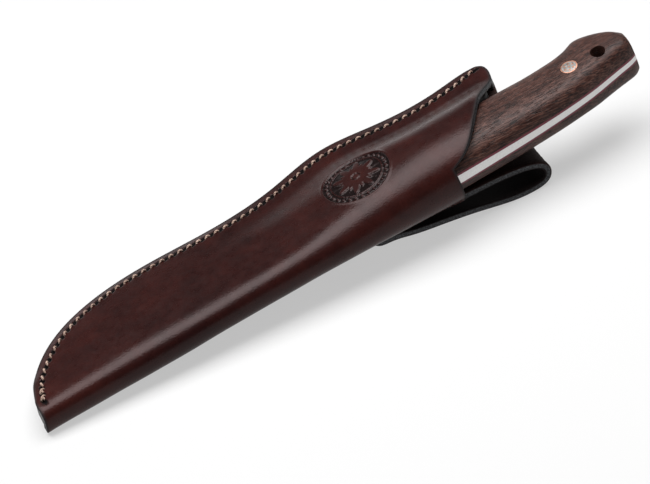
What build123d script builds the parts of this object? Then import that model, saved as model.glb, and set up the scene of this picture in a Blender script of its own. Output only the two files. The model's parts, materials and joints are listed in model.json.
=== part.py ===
from build123d import *
import math
import os

# Full-tang fixed-blade knife in its stitched leather pouch sheath with a belt loop.
# All lengths in mm.  Everything is drawn in the knife's own level frame:
#   X along the knife (0 = tip end of the sheath, butt at +X), Y from the folded
#   spine side towards the stitched seam, Z out of the front face, Z = 0 the
#   mid-plane of the blade.  At the end the whole assembly is laid down on its
#   back, resting on the sheath tip and on the belt loop.

# ---- driving dimensions ---------------------------------------------------
KNIFE_BUTT_X = 244.3
GUARD_X = 128.0
STOCK_HALF = 2.1            # half the blade stock at the guard
BUTT_STOCK_HALF = 0.9       # the tang tapers towards the butt
LINER = 0.8
EDGE_HALF = 0.15
PIN_X = (150.0, 221.2)
PIN_Y = (-1.0, 0.3)
PIN_R = 3.15
PIN_BORE_R = 2.7
PIN_ROD_R = 0.45
PIN_ROD_RING_R = 1.75
LANYARD_X = 232.7
LANYARD_Y = -0.3
LANYARD_R = 2.75

LEATHER = 2.6
WELT_HALF = 1.5
WELT_WIDTH = 8.5
WELT_FLARE = 6.0            # it widens at the mouth, down to the path of the guard
FOLD_Y = -16.8              # outside of the fold along the spine
MOUTH_X = 166.4             # mouth of the sheath at the fold
STITCH_INSET = 4.5
TAB_INSET = 2.7             # the seam closes in on the edge at the end of the tab
STITCH_PITCH = 3.6
HOLE_R = 0.9
THREAD_R = 0.44

STRAP_NEAR_Y = -9.0
STRAP_FAR_Y = 15.0
STRAP_END_X = 131.0         # free end of the strap, sewn to the back panel
STRAP_LAND_X = 138.5        # where the strap leaves the back panel
STRAP_GAP = 0.12
LOOP_ROWS_X = (133.4, 137.0)
LOOP_THREAD_LIFT = 0.2      # the moulded panel bulges a little between its stations
LOOP_GROOVE = 0.6           # stitching grooves on the pouch side, clear of the grip
LOOP_GROOVE_HALF = 1.05

ELLIPSE_K = 0.60            # Bezier handle of the fold quarter

# sheath sections: X, half height, fold depth, foot of the slope, its width front and back
SHEATH_STATIONS = [
    (-3.0, 5.2, 4.8, -8.4, 3.0, 3.0),
    (4.0, 5.25, 4.9, -8.3, 3.1, 3.1),
    (9.0, 5.3, 5.2, -6.0, 4.5, 4.5),
    (13.0, 5.4, 5.5, 1.0, 7.0, 6.0),
    (18.0, 5.55, 5.8, 8.0, 10.0, 8.0),
    (27.0, 5.75, 6.1, 15.4, 13.0, 9.0),
    (42.0, 5.9, 6.4, 20.4, 14.0, 9.0),
    (62.0, 5.9, 6.5, 21.9, 14.0, 8.5),
    (85.0, 6.0, 6.9, 20.9, 14.5, 8.0),
    (104.0, 6.5, 8.2, 22.2, 16.0, 8.5),
    (118.0, 7.4, 10.2, 25.2, 17.0, 11.0),
    (132.0, 9.0, 13.4, 28.6, 17.0, 14.0),
    (144.0, 10.7, 15.5, 28.2, 17.0, 14.0),
    (156.0, 11.85, 16.7, 26.2, 17.0, 13.0),
    (170.0, 12.4, 17.0, 25.0, 17.0, 12.0),
    (186.0, 12.55, 17.0, 25.6, 17.0, 12.0),
    (204.0, 12.6, 17.0, 26.5, 17.0, 12.0),
]

# seam side of the sheath seen from the front, from the tip to the tab
SEAM_POINTS = [
    (1.2, -8.0), (4.2, 2.6), (9.4, 11.2), (20.0, 21.0), (35.0, 27.6),
    (58.0, 30.4), (85.0, 29.4), (112.0, 32.2), (134.0, 37.6), (154.0, 35.0),
    (174.0, 33.2), (186.0, 34.5), (193.0, 35.3), (197.4, 35.1),
]
TAB_POINTS = [(199.5, 33.4), (200.3, 30.2), (199.9, 27.0), (198.9, 24.1)]

# grip sections: X, back of the grip, belly of the grip, half thickness, squareness
GRIP_STATIONS = [
    (128.0, -13.0, 17.0, 4.6, 0.655),
    (133.0, -13.2, 18.8, 5.6, 0.655),
    (142.0, -13.3, 15.0, 7.2, 0.655),
    (152.0, -13.3, 12.2, 8.5, 0.655),
    (165.0, -13.2, 12.9, 9.3, 0.655),
    (180.0, -12.8, 13.1, 9.35, 0.68),
    (195.0, -12.2, 12.9, 9.1, 0.73),
    (208.0, -11.2, 12.2, 8.8, 0.78),
    (219.0, -9.8, 12.7, 8.7, 0.81),
    (225.0, -8.7, 14.2, 8.9, 0.82),
    (229.3, -7.6, 16.0, 9.05, 0.82),
    (235.5, -5.9, 14.0, 9.0, 0.82),
    (241.0, -4.5, 9.9, 8.7, 0.82),
    (243.4, -3.7, 7.8, 8.1, 0.80),
    (244.3, -2.9, 6.8, 7.3, 0.78),
]

# blade sections: X, spine, cutting edge, half thickness at the spine
BLADE_STATIONS = [
    (134.0, -12.6, 14.0, 1.95),
    (126.0, -13.0, 16.6, 2.1),
    (112.0, -13.0, 17.4, 2.1),
    (90.0, -13.0, 17.8, 2.05),
    (68.0, -13.0, 17.9, 1.95),
    (50.0, -13.0, 16.9, 1.85),
    (36.0, -13.0, 13.8, 1.7),
    (26.0, -12.9, 8.8, 1.5),
    (18.0, -12.7, 1.8, 1.15),
    (13.5, -12.3, -5.6, 0.75),
    (11.5, -11.7, -10.4, 0.3),
]
GRIP_SECTIONS = 36
GRIND_START = 0.30          # share of the blade height left at full thickness


# ---- helpers --------------------------------------------------------------
def at(x, y, z):
    """A point given as along, across, up."""
    return Vector(x, y, z)


def sheath_height(x):
    """Outer half height of the sheath over its flat middle."""
    rows = SHEATH_STATIONS
    for low, high in zip(rows, rows[1:]):
        if x <= high[0]:
            u = (x - low[0]) / (high[0] - low[0])
            return low[1] + (high[1] - low[1]) * u
    return rows[-1][1]


def slope(x, y_foot, z_foot, width, z_top):
    """S-shaped moulded slope, level at both of its ends."""
    third = width / 3
    return Bezier(
        at(x, y_foot, z_foot),
        at(x, y_foot - third, z_foot),
        at(x, y_foot - 2 * third, z_top),
        at(x, y_foot - width, z_top),
    )


def sheath_section(row, thickness):
    """Closed section of the sheath at one station, offset inwards by thickness."""
    x, height, depth, foot, front_width, back_width = row
    flange = WELT_HALF + LEATHER - thickness
    drop = height - WELT_HALF - LEATHER
    fold = FOLD_Y + thickness
    apex = FOLD_Y + depth - 0.5
    top = height - thickness
    k = ELLIPSE_K
    front_shift = thickness * math.tan(math.atan(1.5 * drop / front_width) / 2)
    back_shift = thickness * math.tan(math.atan(1.5 * drop / back_width) / 2)
    far = 46.0
    deep = apex - fold
    front = foot - front_shift
    back = foot - back_shift
    return Wire([
        Line(at(x, far, flange), at(x, front, flange)),
        slope(x, front, flange, front_width, top),
        Line(at(x, front - front_width, top), at(x, apex, top)),
        Bezier(
            at(x, apex, top),
            at(x, apex - k * deep, top),
            at(x, fold, k * top),
            at(x, fold, 0),
        ),
        Bezier(
            at(x, fold, 0),
            at(x, fold, -k * top),
            at(x, apex - k * deep, -top),
            at(x, apex, -top),
        ),
        Line(at(x, apex, -top), at(x, back - back_width, -top)),
        slope(x, back, -flange, back_width, -top),
        Line(at(x, back, -flange), at(x, far, -flange)),
        Line(at(x, far, -flange), at(x, far, flange)),
    ])


def sheath_body(thickness):
    """Moulded body of the sheath, or its cavity for thickness = LEATHER."""
    faces = [Face(sheath_section(row, thickness)) for row in SHEATH_STATIONS]
    return Solid.make_loft([f.outer_wire() for f in faces])


def tab_end():
    """Rounded end of the seam tab, shared by both panels."""
    return Spline(SEAM_POINTS[-1], *TAB_POINTS)


def panel_prism(mouth, height):
    """Prism over one panel's outline; mouth is its edge from the tab to the fold."""
    seam = Spline(*SEAM_POINTS)
    outline = Wire([
        Line((MOUTH_X, FOLD_Y - 3), (0, FOLD_Y - 3)),
        Line((0, FOLD_Y - 3), (0, FOLD_Y)),
        Line((0, FOLD_Y), SEAM_POINTS[0]),
        seam,
        tab_end(),
        *mouth,
    ])
    return Solid.extrude(Face(outline), Vector(0, 0, height))


def grip_section(row):
    """Rounded grip section made of four quarter curves."""
    x, back, belly, half, k = row
    mid = (back + belly) / 2
    a = (belly - back) / 2
    b = half
    quarters = []
    for sy, sz, swap in ((1, 1, False), (-1, 1, True), (-1, -1, False), (1, -1, True)):
        side = at(x, mid + sy * a, 0)
        side_pull = at(x, mid + sy * a, sz * k * b)
        face_pull = at(x, mid + sy * k * a, sz * b)
        face = at(x, mid, sz * b)
        run = [side, side_pull, face_pull, face]
        if swap:
            run.reverse()
        quarters.append(Bezier(*run))
    return Wire(quarters)


def grip_slopes(column):
    """Slopes at the grip stations that keep the curve between them free of waves."""
    rows = GRIP_STATIONS
    steps = [(b[column] - a[column]) / (b[0] - a[0]) for a, b in zip(rows, rows[1:])]
    slopes = [steps[0]]
    for before, after in zip(steps, steps[1:]):
        turning = before * after <= 0
        slopes.append(0.0 if turning else 2 * before * after / (before + after))
    slopes.append(steps[-1])
    return slopes


def grip_value(x, column, slopes):
    """Cubic between two neighbouring grip stations."""
    rows = GRIP_STATIONS
    i = max(n for n in range(len(rows) - 1) if x >= rows[n][0] or n == 0)
    span = rows[i + 1][0] - rows[i][0]
    u = (x - rows[i][0]) / span
    start = rows[i][column]
    end = rows[i + 1][column]
    rise = (3 - 2 * u) * u * u
    lead_out = u * (1 - u) * (1 - u) * span * slopes[i]
    lead_in = u * u * (u - 1) * span * slopes[i + 1]
    return start + (end - start) * rise + lead_out + lead_in


def grip_envelope():
    """Loft through evenly spaced sections, so that it cannot wave between them."""
    slopes = [grip_slopes(column) for column in range(1, 5)]
    sections = []
    for i in range(GRIP_SECTIONS + 1):
        x = GUARD_X + (KNIFE_BUTT_X - GUARD_X) * i / GRIP_SECTIONS
        row = [grip_value(x, column, slopes[column - 1]) for column in range(1, 5)]
        sections.append(grip_section((x, *row)))
    return Solid.make_loft(sections)


def stock_slab(extra):
    """Tapering slab of the tang, thickened by extra on both sides."""
    low = GUARD_X - 20
    high = KNIFE_BUTT_X + 5
    rate = (BUTT_STOCK_HALF - STOCK_HALF) / (KNIFE_BUTT_X - GUARD_X)
    def half(x):
        return STOCK_HALF + rate * max(x - GUARD_X, 0) + extra
    outline = Wire.make_polygon([
        at(low, -40, half(low)), at(GUARD_X, -40, half(GUARD_X)), at(high, -40, half(high)),
        at(high, -40, -half(high)), at(GUARD_X, -40, -half(GUARD_X)), at(low, -40, -half(low)),
    ])
    return Solid.extrude(Face(outline), Vector(0, 80, 0))


def blade_section(row):
    x, spine, edge, half = row
    grind = spine + GRIND_START * (edge - spine)
    tip_edge = min(EDGE_HALF, half * 0.5)
    return Wire.make_polygon([
        at(x, spine, half), at(x, grind, half), at(x, edge, tip_edge),
        at(x, edge, -tip_edge), at(x, grind, -half), at(x, spine, -half),
    ])


def post(x, y, radius, z_low=-20.0, z_high=20.0):
    return Solid.make_cylinder(radius, z_high - z_low, Plane(at(x, y, z_low)))


def half_space(sign):
    """Everything in front of (+1) or behind (-1) the blade's mid-plane."""
    box = Solid.make_box(300, 120, 40)
    return box.moved(Location((-20, -60, 0 if sign > 0 else -40)))


# ---- the knife ------------------------------------------------------------
envelope = grip_envelope()
bores = [post(x, y, PIN_R) for x, y in zip(PIN_X, PIN_Y)]
bores.append(post(LANYARD_X, LANYARD_Y, LANYARD_R))

slab = stock_slab(0.0)
lined_slab = stock_slab(LINER)
blade_loft = Solid.make_loft([blade_section(row) for row in BLADE_STATIONS], True)
tang = envelope & slab
blade = (tang + blade_loft) - bores

lining = (envelope & lined_slab) - slab - bores
scales = envelope - lined_slab - bores

parts = {}
parts["blade"] = blade
parts["liner_front"] = lining & half_space(1)
parts["liner_back"] = lining & half_space(-1)
parts["scale_front"] = scales & half_space(1)
parts["scale_back"] = scales & half_space(-1)

for label, x, y in zip(("front", "rear"), PIN_X, PIN_Y):
    rods = []
    for i in range(6):
        angle = math.radians(60 * i + 15)
        rods.append((x + PIN_ROD_RING_R * math.cos(angle), y + PIN_ROD_RING_R * math.sin(angle)))
    rods.append((x, y))
    rod_posts = [post(rx, ry, PIN_ROD_R) for rx, ry in rods]
    tube = post(x, y, PIN_R) - post(x, y, PIN_BORE_R)
    core = post(x, y, PIN_BORE_R) - rod_posts
    parts["pin_" + label + "_tube"] = tube & envelope
    parts["pin_" + label + "_core"] = core & envelope
    parts["pin_" + label + "_rods"] = Compound(children=[(rod & envelope) for rod in rod_posts])

# ---- the sheath leather ---------------------------------------------------
shell = sheath_body(0.0) - sheath_body(LEATHER)

front_mouth = [
    Spline(
        TAB_POINTS[-1], (196.3, 20.0), (191.8, 13.4), (187.6, 6.3), (183.4, -0.6),
        (178.8, -7.2), (175.0, -11.0), (171.0, -13.4), (MOUTH_X, -14.8),
    ),
    Line((MOUTH_X, -14.8), (MOUTH_X, FOLD_Y - 3)),
]
back_mouth = [
    Spline(TAB_POINTS[-1], (194.0, 19.6), (184.0, 17.6), (172.0, STRAP_FAR_Y)),
    Line((172.0, STRAP_FAR_Y), (172.0, STRAP_NEAR_Y)),
    Line((172.0, STRAP_NEAR_Y), (MOUTH_X, STRAP_NEAR_Y)),
    Line((MOUTH_X, STRAP_NEAR_Y), (MOUTH_X, FOLD_Y - 3)),
]
front_panel = shell & panel_prism(front_mouth, 20)
back_panel = shell & panel_prism(back_mouth, -20)

# belt strap: leaves the back panel at the mouth, turns under itself and lies back
half_leather = LEATHER / 2


def landing_z(x):
    """Mid-surface of the strap where it lies on the back panel."""
    return -(sheath_height(x) + STRAP_GAP + half_leather)


strap_path = Wire([
    Spline(
        at(160.0, 0, -sheath_height(160) + half_leather),
        at(168.0, 0, -sheath_height(168) + half_leather),
        at(177.0, 0, -11.5),
        at(186.5, 0, -12.7),
        at(193.8, 0, -14.6),
        at(198.2, 0, -18.2),
        at(197.6, 0, -21.8),
        at(191.6, 0, -23.6),
        at(182.0, 0, -22.4),
        at(170.0, 0, -19.1),
        at(155.0, 0, -15.6),
        at(145.0, 0, -13.2),
        at(STRAP_LAND_X, 0, landing_z(STRAP_LAND_X)),
        at(135.0, 0, landing_z(135.0)),
        at(STRAP_END_X, 0, landing_z(STRAP_END_X)),
    ),
])
strap_start = Plane(origin=strap_path @ 0, z_dir=strap_path % 0, x_dir=(0, 1, 0))
strap_section = strap_start * Pos((STRAP_NEAR_Y + STRAP_FAR_Y) / 2, 0) * Rectangle(
    STRAP_FAR_Y - STRAP_NEAR_Y, LEATHER)
strap = sweep(strap_section, path=strap_path)

# ---- stitching ------------------------------------------------------------
seam = Spline(*SEAM_POINTS)
stitch_line_points = []
for i in range(41):
    u = i / 40
    tangent = seam % u
    inward = Vector(tangent.Y, -tangent.X, 0)
    closing = min(max(((seam @ u).X - 187) / 10, 0), 1)
    stitch_line_points.append((seam @ u) + inward * (STITCH_INSET + (TAB_INSET - STITCH_INSET) * closing))
stitch_line = Spline(*[(p.X, p.Y) for p in stitch_line_points])
stitch_count = int((stitch_line.length - 2.0) / STITCH_PITCH)
if stitch_count % 2:
    stitch_count -= 1
stitch_holes = []
for i in range(stitch_count + 1):
    u = (1.0 + i * (stitch_line.length - 2.0) / stitch_count) / stitch_line.length
    stitch_holes.append((stitch_line @ u, stitch_line % u))

flange_z = WELT_HALF + LEATHER


def serpentine(holes, z_top, z_bottom, side, start_on_top):
    """One thread running in and out of a row of holes, kept to one side of them."""
    points = []
    on_top = start_on_top
    for centre, tangent in holes:
        shift = Vector(-tangent.Y, tangent.X, 0).normalized() * (side * THREAD_R)
        spot = centre + shift
        first = z_top if not on_top else z_bottom
        last = z_bottom if not on_top else z_top
        points.append(at(spot.X, spot.Y, first))
        points.append(at(spot.X, spot.Y, last))
        on_top = not on_top
    path = Wire.make_polygon(points, close=False)
    start = Plane(origin=path @ 0, z_dir=path % 0)
    return sweep(start * Circle(THREAD_R), path=path, transition=Transition.RIGHT)


thread_top = flange_z + THREAD_R
seam_thread_a = serpentine(stitch_holes, thread_top, -thread_top, 1, True)
seam_thread_b = serpentine(stitch_holes, thread_top, -thread_top, -1, False)

loop_holes = []
for x in LOOP_ROWS_X:
    loop_holes.append([(at(x, y, 0), Vector(0, 1, 0)) for y in (-5.5, -2, 1.5, 5, 8.5, 12)])

seam_bores = [post(c.X, c.Y, HOLE_R, -8, 8) for c, t in stitch_holes]
loop_bores = [post(c.X, c.Y, HOLE_R, -20, -1.6) for row in loop_holes for c, t in row]


def pouch_floor(x):
    """Inner face of the back panel over its flat middle."""
    return -(sheath_height(x) - LEATHER)


loop_grooves = []
for x, row in zip(LOOP_ROWS_X, loop_holes):
    low_y = row[0][0].Y - LOOP_GROOVE_HALF
    high_y = row[-1][0].Y + LOOP_GROOVE_HALF
    groove = Solid.make_box(2 * LOOP_GROOVE_HALF, high_y - low_y, 2.2)
    loop_grooves.append(groove.moved(Location((x - LOOP_GROOVE_HALF, low_y, pouch_floor(x) - LOOP_GROOVE))))

leather = front_panel + back_panel
leather = leather + strap
leather = leather - seam_bores - loop_bores - loop_grooves
parts["sheath_leather"] = leather

inner_edge = []
for u in (0.985, 0.95, 0.92, 0.89, 0.86, 0.80, 0.70, 0.60, 0.50, 0.40, 0.30, 0.22, 0.15, 0.10, 0.05, 0.0):
    tangent = seam % u
    rise = min(max((u - 0.87) / 0.08, 0), 1)
    width = WELT_WIDTH + WELT_FLARE * rise * rise * (3 - 2 * rise)
    spot = (seam @ u) + Vector(tangent.Y, -tangent.X, 0) * width
    inner_edge.append((spot.X, spot.Y))
welt_outline = Wire([
    seam,
    tab_end(),
    Line(TAB_POINTS[-1], inner_edge[0]),
    Spline(*inner_edge),
    Line(inner_edge[-1], SEAM_POINTS[0]),
])
welt = Solid.extrude(Face(welt_outline), Vector(0, 0, 2 * WELT_HALF))
welt = welt.moved(Location((0, 0, -WELT_HALF)))
parts["welt"] = welt - [post(c.X, c.Y, HOLE_R, -8, 8) for c, t in stitch_holes]
parts["seam_thread_a"] = seam_thread_a
parts["seam_thread_b"] = seam_thread_b

loop_threads = []
for x, row in zip(LOOP_ROWS_X, loop_holes):
    outside = landing_z(x) - half_leather - THREAD_R - LOOP_THREAD_LIFT
    inside = pouch_floor(x) - LOOP_GROOVE + THREAD_R + 0.1
    loop_threads.append(serpentine(row, outside, inside, 1, True))
    loop_threads.append(serpentine(row, outside, inside, -1, False))
parts["loop_thread"] = Compound(children=loop_threads)

# ---- laid down on its back, resting on the tip and on the loop --------------
tip_low = -5.2
loop_low = -24.9
loop_low_x = 190.8
tilt = math.degrees(math.atan2(tip_low - loop_low, loop_low_x))
laid = Location((0, 0, 0), (0, -tilt, 0))
whole = Compound(children=[p.moved(laid) for p in parts.values()]).bounding_box()
centre = whole.center()
rest = Location((-centre.X, -centre.Y, -whole.min.Z)) * laid

os.makedirs("parts", exist_ok=True)
for name, piece in parts.items():
    export_step(piece.moved(rest), "parts/" + name + ".step")
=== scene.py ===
import json
import math

import bpy
import numpy as np
from mathutils import Matrix, Vector
from mathutils.geometry import delaunay_2d_cdt
from mathutils.kdtree import KDTree


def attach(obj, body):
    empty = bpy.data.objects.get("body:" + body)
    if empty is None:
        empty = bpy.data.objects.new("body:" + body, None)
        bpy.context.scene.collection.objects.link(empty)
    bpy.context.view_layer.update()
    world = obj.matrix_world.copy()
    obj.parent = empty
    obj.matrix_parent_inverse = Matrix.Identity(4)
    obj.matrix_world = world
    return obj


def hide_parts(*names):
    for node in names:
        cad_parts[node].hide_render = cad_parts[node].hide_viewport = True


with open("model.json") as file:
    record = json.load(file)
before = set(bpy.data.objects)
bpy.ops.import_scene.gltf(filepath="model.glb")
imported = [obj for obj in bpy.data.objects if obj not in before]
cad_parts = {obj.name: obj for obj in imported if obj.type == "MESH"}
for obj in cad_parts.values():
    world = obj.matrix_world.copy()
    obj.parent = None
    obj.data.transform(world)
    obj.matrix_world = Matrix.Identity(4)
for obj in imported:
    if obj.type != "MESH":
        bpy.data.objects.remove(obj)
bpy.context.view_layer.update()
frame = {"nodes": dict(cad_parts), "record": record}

# The knife's own level frame, in millimetres, as the CAD model is drawn:
# X along the knife from the sheath tip, Y from the fold to the seam, Z out of
# the front face.  KNIFE_TO_ROW lays it down at rest, in metres.
MM = 0.001
LANYARD = (232.7, -0.3, 0.0)
record = frame["record"]


def named(rows, name):
    """The entry with this name in one of the record's lists."""
    return next(row for row in rows if row["name"] == name)


draw_axis = Vector(named(record["behaviour"]["joints"], "knife_draw")["axis"])
lanyard_row = Vector(named(record["mounts"], "lanyard_hole")["pos_m"])
TILT = math.atan2(draw_axis.z, draw_axis.x)
lay_down = Matrix.Rotation(-TILT, 4, "Y")
shift = lanyard_row - lay_down @ (Vector(LANYARD) * MM)
KNIFE_TO_ROW = Matrix.Translation(shift) @ lay_down @ Matrix.Scale(MM, 4)

# ---- sheath dimensions, mm ------------------------------------------------
LEATHER = 2.6
WELT_HALF = 1.5
FLANGE = WELT_HALF + LEATHER
WELT_WIDTH = 8.5
WELT_FLARE = 6.0
FOLD_Y = -16.8
MOUTH_X = 166.4
STITCH_INSET = 4.5
TAB_INSET = 2.7
TIP_INSET = 3.5
STITCH_PITCH = 3.6
STRAP_NEAR_Y = -9.0
STRAP_FAR_Y = 15.0
STRAP_ROOT_X = 168.0
TONGUE_X = 172.0            # from here on the strap is cut free of the back panel
STRAP_CORNER = 4.0          # radius at the strap's end
ROOT_CORNER = 2.5           # radius of the inside corner where the strap leaves the fold
EDGE_ROUND = 0.34
FLANGE_DROOP = 0.65
FOLD_HANDLE = 0.60

# X, half height, fold depth, foot of the slope, its width front and back
STATIONS = np.array([
    (-3.0, 5.2, 4.8, -8.4, 3.0, 3.0),
    (4.0, 5.25, 4.9, -8.3, 3.1, 3.1),
    (9.0, 5.3, 5.2, -6.0, 4.5, 4.5),
    (13.0, 5.4, 5.5, 1.0, 7.0, 6.0),
    (18.0, 5.55, 5.8, 8.0, 10.0, 8.0),
    (27.0, 5.75, 6.1, 15.4, 13.0, 9.0),
    (42.0, 5.9, 6.4, 20.4, 14.0, 9.0),
    (62.0, 5.9, 6.5, 21.9, 14.0, 8.5),
    (85.0, 6.0, 6.9, 20.9, 14.5, 8.0),
    (104.0, 6.5, 8.2, 22.2, 16.0, 8.5),
    (118.0, 7.4, 10.2, 25.2, 17.0, 11.0),
    (132.0, 9.0, 13.4, 28.6, 17.0, 14.0),
    (144.0, 10.7, 15.5, 28.2, 17.0, 14.0),
    (156.0, 11.85, 16.7, 26.2, 17.0, 13.0),
    (170.0, 12.4, 17.0, 25.0, 17.0, 12.0),
    (186.0, 12.55, 17.0, 25.6, 17.0, 12.0),
    (204.0, 12.6, 17.0, 26.5, 17.0, 12.0),
])
SEAM_POINTS = [
    (1.2, -8.0), (4.2, 2.6), (9.4, 11.2), (20.0, 21.0), (35.0, 27.6),
    (58.0, 30.4), (85.0, 29.4), (112.0, 32.2), (134.0, 37.6), (154.0, 35.0),
    (174.0, 33.2), (186.0, 34.5), (193.0, 35.3), (197.4, 35.1),
]
TAB_POINTS = [SEAM_POINTS[-1], (199.5, 33.4), (200.3, 30.2), (199.9, 27.0), (198.9, 24.1)]
FRONT_MOUTH = [
    TAB_POINTS[-1], (196.3, 20.0), (191.8, 13.4), (187.6, 6.3), (183.4, -0.6),
    (178.8, -7.2), (175.0, -11.0), (171.0, -13.4), (MOUTH_X, -14.8),
]
BACK_NOTCH = [
    TAB_POINTS[-1], (194.0, 19.6), (184.0, 17.6), (173.5, 16.2), (TONGUE_X, 15.6), (173.0, STRAP_FAR_Y),
]
STRAP_PATH = [
    (150.0, -10.0), (160.0, -10.75), (168.0, -11.05), (177.0, -11.5), (186.5, -12.7), (193.8, -14.6),
    (198.2, -18.2), (197.6, -21.8), (191.6, -23.6), (182.0, -22.4), (170.0, -19.1),
    (155.0, -15.6), (145.0, -13.2), (138.5, -11.32), (135.0, -10.83), (131.0, -10.28),
]


# curves
CURVE_SAMPLES = 1200


def smooth(u):
    u = np.clip(u, 0, 1)
    return u * u * (3 - 2 * u)


def run_along(points):
    """Distance of each point from the first, measured along the line of points."""
    return np.r_[0, np.cumsum(np.linalg.norm(np.diff(points, axis=0), axis=1))]


def read_at(at, run, values):
    """Rows of values, known along a run, read at other places of that run."""
    return np.stack([np.interp(at, run, values[:, k]) for k in range(values.shape[1])], 1)


def quarter_turn(vectors):
    """Vectors turned clockwise by a right angle: from along the seam to towards the fold."""
    return np.stack([vectors[:, 1], -vectors[:, 0]], 1)


class Spline:
    """Natural cubic through points, by chord length or by a given parameter."""

    def __init__(self, points, at=None):
        p = np.array(points, float)
        if p.ndim == 1:
            p = p[:, None]
        if at is None:
            at = run_along(p)
        self.t = np.array(at, float)
        n = len(p)
        h = np.diff(self.t)
        m = np.zeros((n, n))
        rhs = np.zeros_like(p)
        m[0, 0] = m[-1, -1] = 1
        for i in range(1, n - 1):
            m[i, i - 1], m[i, i], m[i, i + 1] = h[i - 1], 2 * (h[i - 1] + h[i]), h[i]
            rhs[i] = 3 * ((p[i + 1] - p[i]) / h[i] - (p[i] - p[i - 1]) / h[i - 1])
        self.p, self.h, self.c = p, h, np.linalg.solve(m, rhs)

    def __call__(self, t):
        t = np.atleast_1d(np.asarray(t, float))
        i = np.clip(np.searchsorted(self.t, t) - 1, 0, len(self.h) - 1)
        h = self.h[i][:, None]
        dt = (t - self.t[i])[:, None]
        p, c = self.p, self.c
        slope = (p[i + 1] - p[i]) / h - h * (2 * c[i] + c[i + 1]) / 3
        return p[i] + slope * dt + c[i] * dt**2 + (c[i + 1] - c[i]) / (3 * h) * dt**3

    def even(self, step):
        """Points at even arc length, both ends included."""
        return resample(self(np.linspace(0, self.t[-1], CURVE_SAMPLES)), step)


def resample(points, step):
    run = run_along(points)
    count = max(2, int(round(run[-1] / step)) + 1)
    return read_at(np.linspace(0, run[-1], count), run, points)


def line(a, b, step):
    return resample(np.array([a, b], float), step)


def tangents(points):
    d = np.gradient(points, axis=0)
    return d / np.linalg.norm(d, axis=1)[:, None]


# moulded surface of the sheath: pattern coordinates (X, S) to space.
# S is the distance from the fold along the leather, + over the front panel.
stations = Spline(STATIONS[:, 1:], at=STATIONS[:, 0])
seam_curve = Spline(SEAM_POINTS)
FINE_STEP = 0.4
SEAM_FINE = seam_curve.even(FINE_STEP)
X_STEP = 0.5
GRID_X = np.arange(-2.0, 203.01, X_STEP)
S_STEP = 0.25
S_MAX = 80.0
GRID_S = np.arange(0, S_MAX + 1e-6, S_STEP)
FAR_Y = 60.0
FOLD_SAMPLES = 60
SLOPE_SAMPLES = 400
FOLD_TRIM = 0.5             # the crest lies this much nearer to the fold than STATIONS says
DOME_REACH = 25.0
DOME_APEX, DOME_UP, DOME_ACROSS = 0.4, 0.25, 0.20   # how a full dome stretches the fold's curve
EVEN_FROM, EVEN_TO = 96.0, 130.0                    # X over which the front's slope straightens
EVEN_WIDER = 0.3
DOME_FROM, DOME_TO = 66.0, 110.0                    # X over which the front's dome fades out


def ramp_up(u, start=0.22, end=0.42):
    """Rises from 0 to 1 at a steady slope between a short and a longer rounding."""
    peak = 1 / (1 - start / 2 - end / 2)
    u = np.clip(u, 0, 1)
    first = peak * u**2 / (2 * start)
    middle = peak * (u - start / 2)
    last = 1 - peak * (1 - u) ** 2 / (2 * end)
    return np.where(u < start, first, np.where(u > 1 - end, last, middle))


def half_section(row, width, even=0.0, dome=0.0, seam_y=0.0):
    """Fine outer section of one panel: Y and height above the blade's mid-plane.
    even straightens the slope; dome turns it into one soft curve from the seam inwards."""
    height, depth, foot, front_width, back_width = row
    apex = FOLD_Y + (depth - FOLD_TRIM) * (1 + DOME_APEX * dome)
    deep = apex - FOLD_Y
    up = (FOLD_HANDLE + DOME_UP * dome) * height
    across = (FOLD_HANDLE - DOME_ACROSS * dome) * deep
    t = np.linspace(0, 1, FOLD_SAMPLES)
    b0, b1, b2, b3 = (1 - t) ** 3, 3 * t * (1 - t) ** 2, 3 * t * t * (1 - t), t**3
    fold_y = b0 * FOLD_Y + b1 * FOLD_Y + b2 * (apex - across) + b3 * apex
    fold_z = b1 * up + b2 * height + b3 * height
    y = np.linspace(apex, FAR_Y, SLOPE_SAMPLES)[1:]
    rise = (1 - even) * smooth((foot - y) / width) + even * ramp_up((foot - y) / width)
    reach = min(DOME_REACH, 0.9 * (seam_y - apex))
    inward = np.clip((seam_y - y) / max(reach, 1.0), 0, 1)
    rise = rise * (1 - dome) + dome * (1 - (1 - inward) ** 2)
    z = FLANGE + (height - FLANGE) * rise
    return np.r_[fold_y, y], np.r_[fold_z, z]


def panel_table(side):
    """Y, Z on the (GRID_X, GRID_S) grid; side is +1 front, -1 back."""
    table = np.zeros((len(GRID_X), len(GRID_S), 2))
    for i, (x, row) in enumerate(zip(GRID_X, stations(GRID_X))):
        seam_y = float(np.interp(x, SEAM_FINE[:, 0], SEAM_FINE[:, 1]))
        if side > 0:
            even = float(smooth((x - EVEN_FROM) / (EVEN_TO - EVEN_FROM)))
            dome = float(1 - smooth((x - DOME_FROM) / (DOME_TO - DOME_FROM)))
            y, z = half_section(row, row[3] * (1 + EVEN_WIDER * even), even, dome, seam_y)
        else:
            y, z = half_section(row, row[4], seam_y=seam_y)
        run = np.r_[0, np.cumsum(np.hypot(np.diff(y), np.diff(z)))]
        table[i, :, 0] = np.interp(GRID_S, run, y)
        table[i, :, 1] = np.interp(GRID_S, run, z) * side
    return table


TABLES = {1: panel_table(1), -1: panel_table(-1)}


def grid_place(steps, count):
    """The grid line below each place, and the share of the way to the next one."""
    place = np.clip(steps, 0, count - 1.001)
    below = place.astype(int)
    return below, place - below


def table_row(x):
    return grid_place((x - GRID_X[0]) / X_STEP, len(GRID_X))


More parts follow.
